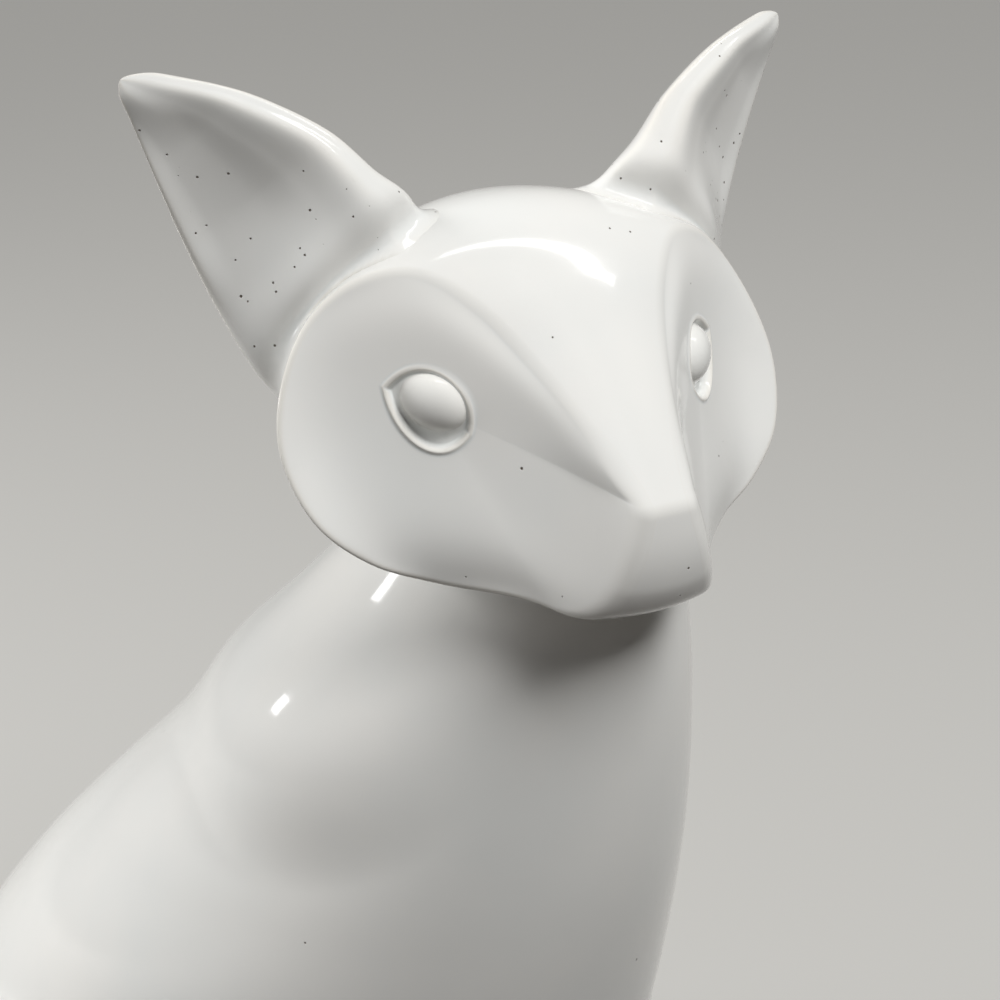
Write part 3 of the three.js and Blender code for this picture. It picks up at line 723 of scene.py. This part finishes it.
def flared(rings, seat, seat_normals, radii):
    """Rings whose foot flares into a fillet on a seat, with a radius r for each of the seat's points. A
    point at a height h below r moves sideways along its own normal by r - sqrt(r^2 - (r - h)^2), and then
    along the seat's normal until its height is h again. Just below the seat it runs on outwards, and deeper
    the move fades out. The moves are then evened out."""
    points = rings.reshape(-1, 3).copy()
    # A thinned seat is enough to find the points near it
    coarse = seat[::53]
    reach = np.linalg.norm(points - coarse[nearest(points, coarse)], axis=1)
    margin = 2.5 * radii.max()
    close_by = reach < margin
    p = points[close_by]
    near_by = beside_box(seat, p, margin)
    seat, seat_normals, radii = seat[near_by], seat_normals[near_by], radii[near_by]
    normals = outward(rings).reshape(-1, 3)[close_by]
    close = nearest(p, seat)
    up = seat_normals[close]
    r = radii[close]
    height = np.sum((p - seat[close]) * up, axis=1)
    arc = r - np.sqrt(np.maximum(r ** 2 - np.clip(r - height, 0, r) ** 2, 0))
    tuck = 0.12 * r
    run_on = 0.5 * r * np.clip(-height / tuck, 0, 1)
    move = (arc + run_on) * np.clip(1 + 2 * (height + tuck) / r, 0, 1)
    moved = p + unit(normals - np.sum(normals * up, axis=1, keepdims=True) * up) * move[:, None]
    close = nearest(moved, seat)
    now = np.sum((moved - seat[close]) * seat_normals[close], axis=1)
    points[close_by] = moved + seat_normals[close] * ((height - now) * (move > 0))[:, None]
    return rings + evened(points.reshape(rings.shape) - rings)


def glaze_lie(points):
    """How the glaze lies, from 1 where it runs thin over a sharp edge to -1 where it pools in a hollow: the
    bend of the surface along and round the rings, which is the change of the normal along a step over the
    step's length."""
    pairs = zip(ring_steps(points), ring_steps(outward(points)))
    bends = [np.sum(p * n, axis=-1) / np.maximum(np.sum(p * p, axis=-1), 1e-4) for p, n in pairs]
    thin = np.clip(np.maximum(*bends) * THIN_GAIN - THIN_UNSEEN, 0, 1)
    pooled = np.clip(-np.minimum(*bends) * POOL_GAIN - POOL_UNSEEN, 0, 1)
    return thin - pooled


def add_node(tree, kind, sockets, **settings):
    """Adds a shader node with its settings, and fills its sockets with values or with links. A link comes
    from a socket, or from the first socket of a node."""
    made = tree.nodes.new(f"ShaderNode{kind}")
    for key, value in settings.items():
        setattr(made, key, value)
    for key, value in sockets.items():
        if isinstance(value, bpy.types.Node):
            value = value.outputs[0]
        if isinstance(value, bpy.types.NodeSocket):
            tree.links.new(value, made.inputs[key])
        else:
            made.inputs[key].default_value = value
    return made


def new_material(name):
    """Node material of a name, emptied, and its tree."""
    material = bpy.data.materials.get(name) or bpy.data.materials.new(name)
    material.use_nodes = True
    material.node_tree.nodes.clear()
    return material, material.node_tree


def glaze_material(colours):
    """Tin-white glaze on earthenware, dipped and fired glossy. The eye sees a wet-looking mirror over a
    soft white that is a little warm where it runs thin over edges and a little cool where it pools, slow
    waves in the reflections, and a scatter of dark pinholes where gas has burst through."""
    material, tree = new_material("white_tin_glaze_glossy")
    place = add_node(tree, "TexCoord", {}).outputs["Object"]
    lie = add_node(tree, "Attribute", {}, attribute_name="glaze_lie").outputs["Fac"]
    # Cloudy patches of thicker and thinner glaze about 45 mm across
    cloud = add_node(tree, "TexNoise", {"Vector": place, "Scale": 1 / 0.045, "Detail": 3.0})
    cloud = add_node(tree, "MapRange", {0: cloud.outputs["Fac"], 1: 0.35, 2: 0.7, 3: 0.0, 4: 0.55})
    thin = add_node(tree, "MapRange", {0: lie, 1: 0.0, 2: 1.0, 3: 0.0, 4: 0.4})
    pooled = add_node(tree, "MapRange", {0: lie, 1: 0.0, 2: -1.0, 3: 0.0, 4: 0.8})
    # Pinholes 0.4 to 0.8 mm across, at most one to a cell of 2.5 mm, in loose clusters about 30 mm across,
    # and the more of them the gassier the casting is
    cell = add_node(tree, "TexVoronoi", {"Vector": place, "Scale": 1 / 0.0025})
    dice = add_node(tree, "SeparateColor", {0: cell.outputs["Color"]})
    gassing = add_node(tree, "Attribute", {}, attribute_name="gassing").outputs["Fac"]
    cluster = add_node(tree, "TexNoise", {"Vector": place, "Scale": 1 / 0.03, "Detail": 1.0})
    cluster = add_node(tree, "MapRange", {0: cluster.outputs["Fac"], 1: 0.4, 2: 0.7, 3: 0.1, 4: 2.0})
    odds = add_node(tree, "Math", {0: cluster, 1: gassing}, operation="MULTIPLY")
    chosen = add_node(tree, "Math", {0: dice, 1: odds}, operation="LESS_THAN")
    radius = add_node(tree, "MapRange", {0: dice.outputs[1], 1: 0.0, 2: 1.0, 3: 0.09, 4: 0.16})
    out = add_node(tree, "Math", {0: cell.outputs["Distance"], 1: radius}, operation="DIVIDE")
    speck = add_node(tree, "MapRange", {0: out, 1: 0.65, 2: 1.1, 3: 1.0, 4: 0.0})
    pinhole = add_node(tree, "Math", {0: speck, 1: chosen}, operation="MULTIPLY")
    # Each tint lies over those before it
    base = (*colours.glaze, 1)
    tints = ((cloud, colours.glaze_pooled), (thin, colours.glaze_thin), (pooled, colours.glaze_pooled),
             (pinhole, colours.pinhole))
    for share, tint in tints:
        base = add_node(tree, "Mix", {0: share, 6: base, 7: (*tint, 1)}, data_type="RGBA").outputs[2]
    # Waves of the fired surface about 14 mm long and 0.02 mm high, and pits at the pinholes
    wave = add_node(tree, "TexNoise", {"Vector": place, "Scale": 1 / 0.014, "Detail": 2.0})
    skin = add_node(tree, "Bump", {"Strength": 1.0, "Distance": 0.00005, "Height": wave.outputs["Fac"]})
    skin = add_node(tree, "Bump", {
        "Strength": 0.8, "Distance": 0.0003, "Height": pinhole, "Normal": skin}, invert=True)
    gloss = add_node(tree, "MapRange", {0: cloud, 1: 0.0, 2: 0.55, 3: 0.1, 4: 0.16})
    shader = add_node(tree, "BsdfPrincipled", {
        "Base Color": base, "Roughness": gloss, "Normal": skin, "IOR": 1.5,
        "Coat Weight": 0.5, "Coat Roughness": 0.03, "Coat IOR": 1.5})
    add_node(tree, "OutputMaterial", {"Surface": shader})
    return material


def bisque_material(colours):
    """Bisque earthenware, wiped of glaze before the firing. The eye sees a dry, warm, chalky clay with fine
    grit and coarser grains of grog."""
    material, tree = new_material("bisque_earthenware_wiped")
    place = add_node(tree, "TexCoord", {}).outputs["Object"]
    # Grit 0.8 mm and grog 3 mm across
    grit = add_node(tree, "TexNoise", {"Vector": place, "Scale": 1 / 0.0008, "Detail": 2.0})
    grog = add_node(tree, "TexVoronoi", {"Vector": place, "Scale": 1 / 0.003})
    grain = add_node(tree, "MapRange", {0: grog.outputs["Distance"], 1: 0.1, 2: 0.35, 3: 0.7, 4: 0.0})
    base = add_node(tree, "Mix", {
        0: grain, 6: (*colours.bisque, 1), 7: (*colours.bisque_grog, 1)}, data_type="RGBA")
    skin = add_node(tree, "Bump", {"Strength": 0.6, "Distance": 0.0002, "Height": grit.outputs["Fac"]})
    shader = add_node(tree, "BsdfPrincipled", {
        "Base Color": base.outputs[2], "Roughness": 0.9, "Normal": skin})
    add_node(tree, "OutputMaterial", {"Surface": shader})
    return material


def felt_material(colours):
    """Pressed wool felt, die-cut. The eye sees a dull, matted dark grey with paler stray fibres."""
    material, tree = new_material("pressed_wool_felt")
    place = add_node(tree, "TexCoord", {}).outputs["Object"]
    # Matted fibres about 1.2 mm long, drawn out by stretching the noise in one direction
    stretch = add_node(tree, "Mapping", {"Vector": place, "Scale": (1.0, 0.25, 1.0)})
    fibre = add_node(tree, "TexNoise", {
        "Vector": stretch, "Scale": 1 / 0.0003, "Detail": 3.0, "Distortion": 1.5})
    pale = add_node(tree, "MapRange", {0: fibre.outputs["Fac"], 1: 0.45, 2: 0.65, 3: 0.0, 4: 0.8})
    base = add_node(tree, "Mix", {
        0: pale, 6: (*colours.felt, 1), 7: (*colours.felt_fibre, 1)}, data_type="RGBA")
    skin = add_node(tree, "Bump", {"Strength": 0.8, "Distance": 0.0003, "Height": fibre.outputs["Fac"]})
    shader = add_node(tree, "BsdfPrincipled", {
        "Base Color": base.outputs[2], "Roughness": 1.0, "Sheen Weight": 0.4, "Sheen Roughness": 0.6,
        "Normal": skin})
    add_node(tree, "OutputMaterial", {"Surface": shader})
    return material


def figure_shift(s):
    """Level way from the neck's axis to the frame's origin in metres, read from the front right pad."""
    low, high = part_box("felt_pad_front_right")
    pad = Vector((-s.pad_across / 2, TORSO_SECTIONS[0, 1] + s.pad_front_inset, 0)) * MM
    shift = (low + high) / 2 - pad
    shift.z = 0
    return shift


def add_piece(context, node, points, finishes, loop=False, dry_from=None, gassing=0.008):
    """Closed mesh over rings of points in millimetres, put in the place of a solid. The last ring joins the
    first in a loop, and otherwise both ends close on their middle. Rings from dry_from on take the second
    finish, and gassing is the share of its cells in which the glaze has a pinhole."""
    rows, columns = points.shape[:2]
    column = np.arange(columns)
    ahead = np.roll(column, -1)
    below = np.arange(rows if loop else rows - 1)[:, None] * columns
    above = (below + columns) % (rows * columns)
    faces = np.stack([below + column, below + ahead, above + ahead, above + column], -1).reshape(-1, 4)
    vertices = points.reshape(-1, 3)
    lie = glaze_lie(points).ravel()
    order = 1 if signed_volume(points) > 0 else -1
    faces = faces[:, ::order].tolist()
    if not loop:
        vertices = np.vstack([vertices, points[0].mean(axis=0), points[-1].mean(axis=0)])
        lie = np.append(lie, [0, 0])
        pole = np.full(columns, rows * columns)
        last = (rows - 1) * columns
        bottom = np.stack([pole, ahead, column], -1)
        top = np.stack([pole + 1, last + column, last + ahead], -1)
        faces += bottom[:, ::order].tolist() + top[:, ::order].tolist()
    shift = np.array(figure_shift(in_millimetres(context)))
    mesh = bpy.data.meshes.new(f"glazed_{node}")
    mesh.from_pydata((vertices * MM + shift).tolist(), [], faces)
    mesh.shade_smooth()
    for key, values in (("glaze_lie", lie), ("gassing", np.full(len(lie), gassing))):
        mesh.attributes.new(key, "FLOAT", "POINT").data.foreach_set("value", values.astype(np.float32))
    for finish in finishes:
        mesh.materials.append(finish(context.scene.ornament_colours))
    if dry_from is not None:
        dry = np.zeros(len(mesh.polygons), np.int32)
        dry[dry_from * columns:(rows - 1) * columns] = 1
        dry[-columns:] = 1
        mesh.polygons.foreach_set("material_index", dry)
    piece = bpy.data.objects.new(f"glazed_{node}", mesh)
    context.scene.collection.objects.link(piece)
    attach(piece, "root")
    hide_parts(node)


class ORNAMENT_OT_torso(bpy.types.Operator):
    """Make the hollow torso, glazed outside and dry inside"""

    bl_idname = "ornament.torso"
    bl_label = "Torso"

    def execute(self, context):
        s = in_millimetres(context)
        rings = torso_grid(s)
        add_piece(context, "torso_shell", rings, [glaze_material, bisque_material],
                  dry_from=len(rings) - HOLLOW_ROWS - WIPED_ROWS)
        return {"FINISHED"}


class ORNAMENT_OT_head(bpy.types.Operator):
    """Make the head with its two cheek discs"""

    bl_idname = "ornament.head"
    bl_label = "Head"

    def execute(self, context):
        s = in_millimetres(context)
        rings = united(head_rings(s), torso_outside(s), s.neck_fillet, s)
        add_piece(context, "head", rings, [glaze_material], gassing=0.04)
        return {"FINISHED"}


class ORNAMENT_OT_ears(bpy.types.Operator):
    """Make both ears"""

    bl_idname = "ornament.ears"
    bl_label = "Ears"

    def execute(self, context):
        s = in_millimetres(context)
        for name, side in SIDES.items():
            rings = ear_grid(side, s)
            add_piece(context, f"{name}_ear", rings, [glaze_material], gassing=0.3)
        return {"FINISHED"}


class ORNAMENT_OT_eyes(bpy.types.Operator):
    """Make both eyeballs"""

    bl_idname = "ornament.eyes"
    bl_label = "Eyes"

    def execute(self, context):
        s = in_millimetres(context)
        for name, side in SIDES.items():
            rings = eye_grid(side, s)
            add_piece(context, f"{name}_eye", rings, [glaze_material], gassing=0.1)
        return {"FINISHED"}


class ORNAMENT_OT_limbs(bpy.types.Operator):
    """Make the forelegs, the hind paws and the tail that lies round the figure's right side"""

    bl_idname = "ornament.limbs"
    bl_label = "Legs, paws and tail"

    def execute(self, context):
        s = in_millimetres(context)
        skin = torso_outside(s)
        for node, rings in limb_rings(s).items():
            add_piece(context, node, united(rings, skin, s.limb_fillet, s), [glaze_material])
        return {"FINISHED"}


class ORNAMENT_OT_foot(bpy.types.Operator):
    """Make the foot plate and the felt pads under it"""

    bl_idname = "ornament.foot"
    bl_label = "Foot plate and pads"

    def execute(self, context):
        s = in_millimetres(context)
        add_piece(context, "foot_plate", plate_grid(s), [bisque_material], loop=True)
        shift = figure_shift(s)
        for node in [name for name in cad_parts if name.startswith("felt_pad")]:
            low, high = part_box(node)
            x, y, _ = ((low + high) / 2 - shift) / MM
            add_piece(context, node, pad_grid(x, y, s), [felt_material])
        return {"FINISHED"}


class ORNAMENT_OT_stage(bpy.types.Operator):
    """Set up the pale floor, the soft studio light and the camera"""

    bl_idname = "ornament.stage"
    bl_label = "Floor, light and camera"

    def execute(self, context):
        scene = context.scene
        scene.view_settings.view_transform = "Standard"
        self.add_floor(scene)
        self.add_world(scene)
        shift = figure_shift(in_millimetres(context))
        for name, (offset, size, power, mirrored) in LAMPS.items():
            self.add_lamp(scene, name, shift + LAMP_TARGET, Vector(offset), size, power, mirrored)
        self.add_camera(scene, shift)
        return {"FINISHED"}

    def seen(self, tree):
        """Node that gives 1 where the camera sees a surface, straight, by a reflection or through glass."""
        path = add_node(tree, "LightPath", {}).outputs
        mirrored = {0: path["Is Glossy Ray"], 1: path["Is Transmission Ray"]}
        mirrored = add_node(tree, "Math", mirrored, operation="MAXIMUM")
        return add_node(tree, "Math", {0: path["Is Camera Ray"], 1: mirrored}, operation="MAXIMUM")

    def add_floor(self, scene):
        """Level disc 8 m across, at the pads' undersides, in matt painted board that takes the figure's
        shadow. To the camera and in reflections it is pale, half by its paint and half by a light that
        falls on nothing."""
        material, tree = new_material("matt_painted_board")
        colours = scene.ornament_colours
        seen = self.seen(tree)
        paint = add_node(tree, "Mix", {
            0: seen, 6: (*colours.floor_bounce, 1), 7: (*colours.floor, 1)}, data_type="RGBA")
        lift = add_node(tree, "Math", {0: seen, 1: FLOOR_GLOW}, operation="MULTIPLY")
        shader = add_node(tree, "BsdfPrincipled", {
            "Base Color": paint.outputs[2], "Roughness": 0.9, "Specular IOR Level": 0.2,
            "Emission Color": (*colours.floor, 1), "Emission Strength": lift})
        add_node(tree, "OutputMaterial", {"Surface": shader})
        rim = levelled(FLOOR_RADIUS * circle(96)[None], np.zeros(1))[0]
        mesh = bpy.data.meshes.new("floor")
        mesh.from_pydata(rim.tolist(), [], [list(range(len(rim)))])
        mesh.materials.append(material)
        floor = bpy.data.objects.new("floor", mesh)
        scene.collection.objects.link(floor)

    def add_world(self, scene):
        """Even pale surround: dim as light, and the floor's own tone where it is seen."""
        world = bpy.data.worlds.new("pale_surround")
        world.use_nodes = True
        world.node_tree.nodes.clear()
        tree = world.node_tree
        strength = add_node(tree, "MapRange", {
            0: self.seen(tree), 1: 0.0, 2: 1.0, 3: SURROUND_LIGHT, 4: SURROUND_SEEN})
        surround = add_node(tree, "Background", {
            "Color": (*SURROUND_TINT, 1), "Strength": strength})
        add_node(tree, "OutputWorld", {"Surface": surround})
        scene.world = world

    def add_lamp(self, scene, name, target, offset, size, power, mirrored):
        """Rectangular lamp at an offset from a point that it faces, seen in reflections if mirrored."""
        light = bpy.data.lights.new(name, "AREA")
        light.shape = "RECTANGLE"
        light.size, light.size_y = size
        light.energy = power
        lamp = bpy.data.objects.new(name, light)
        lamp.location = target + offset
        lamp.rotation_euler = (-offset).to_track_quat("-Z", "Y").to_euler()
        lamp.visible_glossy = mirrored
        scene.collection.objects.link(lamp)

    def add_camera(self, scene, shift):
        """Camera at the photograph's place, turned from +Y towards +X and then down."""
        ahead = Vector((np.sin(CAMERA_HEADING), np.cos(CAMERA_HEADING), 0))
        right = Vector((ahead.y, -ahead.x, 0))
        forward = ahead * np.cos(CAMERA_DROP) - Vector((0, 0, np.sin(CAMERA_DROP)))
        up = right.cross(forward)
        lens = bpy.data.cameras.new("camera")
        lens.lens = LENS
        lens.sensor_width = SENSOR
        camera = bpy.data.objects.new("camera", lens)
        rotation = Matrix((right, up, -forward)).transposed().to_4x4()
        camera.matrix_world = Matrix.Translation(CAMERA_PLACE + shift) @ rotation
        scene.collection.objects.link(camera)
        scene.camera = camera


class ORNAMENT_PT_pieces(bpy.types.Panel):
    """Lists the figure's pieces and their sizes"""

    bl_idname = "ORNAMENT_PT_pieces"
    bl_label = "Glazed fox ornament"
    bl_space_type = "VIEW_3D"
    bl_region_type = "UI"
    bl_category = "Ornament"

    def draw(self, context):
        for operator in OPERATORS:
            self.layout.operator(operator.bl_idname)
        for group in (context.scene.ornament_sizes, context.scene.ornament_colours):
            column = self.layout.column(align=True)
            for name in type(group).__annotations__:
                column.prop(group, name)


OPERATORS = (
    ORNAMENT_OT_torso, ORNAMENT_OT_head, ORNAMENT_OT_ears, ORNAMENT_OT_eyes, ORNAMENT_OT_limbs,
    ORNAMENT_OT_foot, ORNAMENT_OT_stage,
)
CLASSES = (OrnamentSizes, OrnamentColours, *OPERATORS, ORNAMENT_PT_pieces)


def register():
    """Register the classes and hang the two property groups on the scene."""
    for item in CLASSES:
        bpy.utils.register_class(item)
    bpy.types.Scene.ornament_sizes = PointerProperty(type=OrnamentSizes)
    bpy.types.Scene.ornament_colours = PointerProperty(type=OrnamentColours)


def unregister():
    """Take the property groups and the classes away again."""
    del bpy.types.Scene.ornament_colours
    del bpy.types.Scene.ornament_sizes
    for item in reversed(CLASSES):
        bpy.utils.unregister_class(item)


def main():
    """Make every piece and the stage."""
    register()
    bpy.ops.ornament.torso()
    bpy.ops.ornament.head()
    bpy.ops.ornament.ears()
    bpy.ops.ornament.eyes()
    bpy.ops.ornament.limbs()
    bpy.ops.ornament.foot()
    bpy.ops.ornament.stage()
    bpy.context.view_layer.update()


if __name__ == "__main__":
    main()
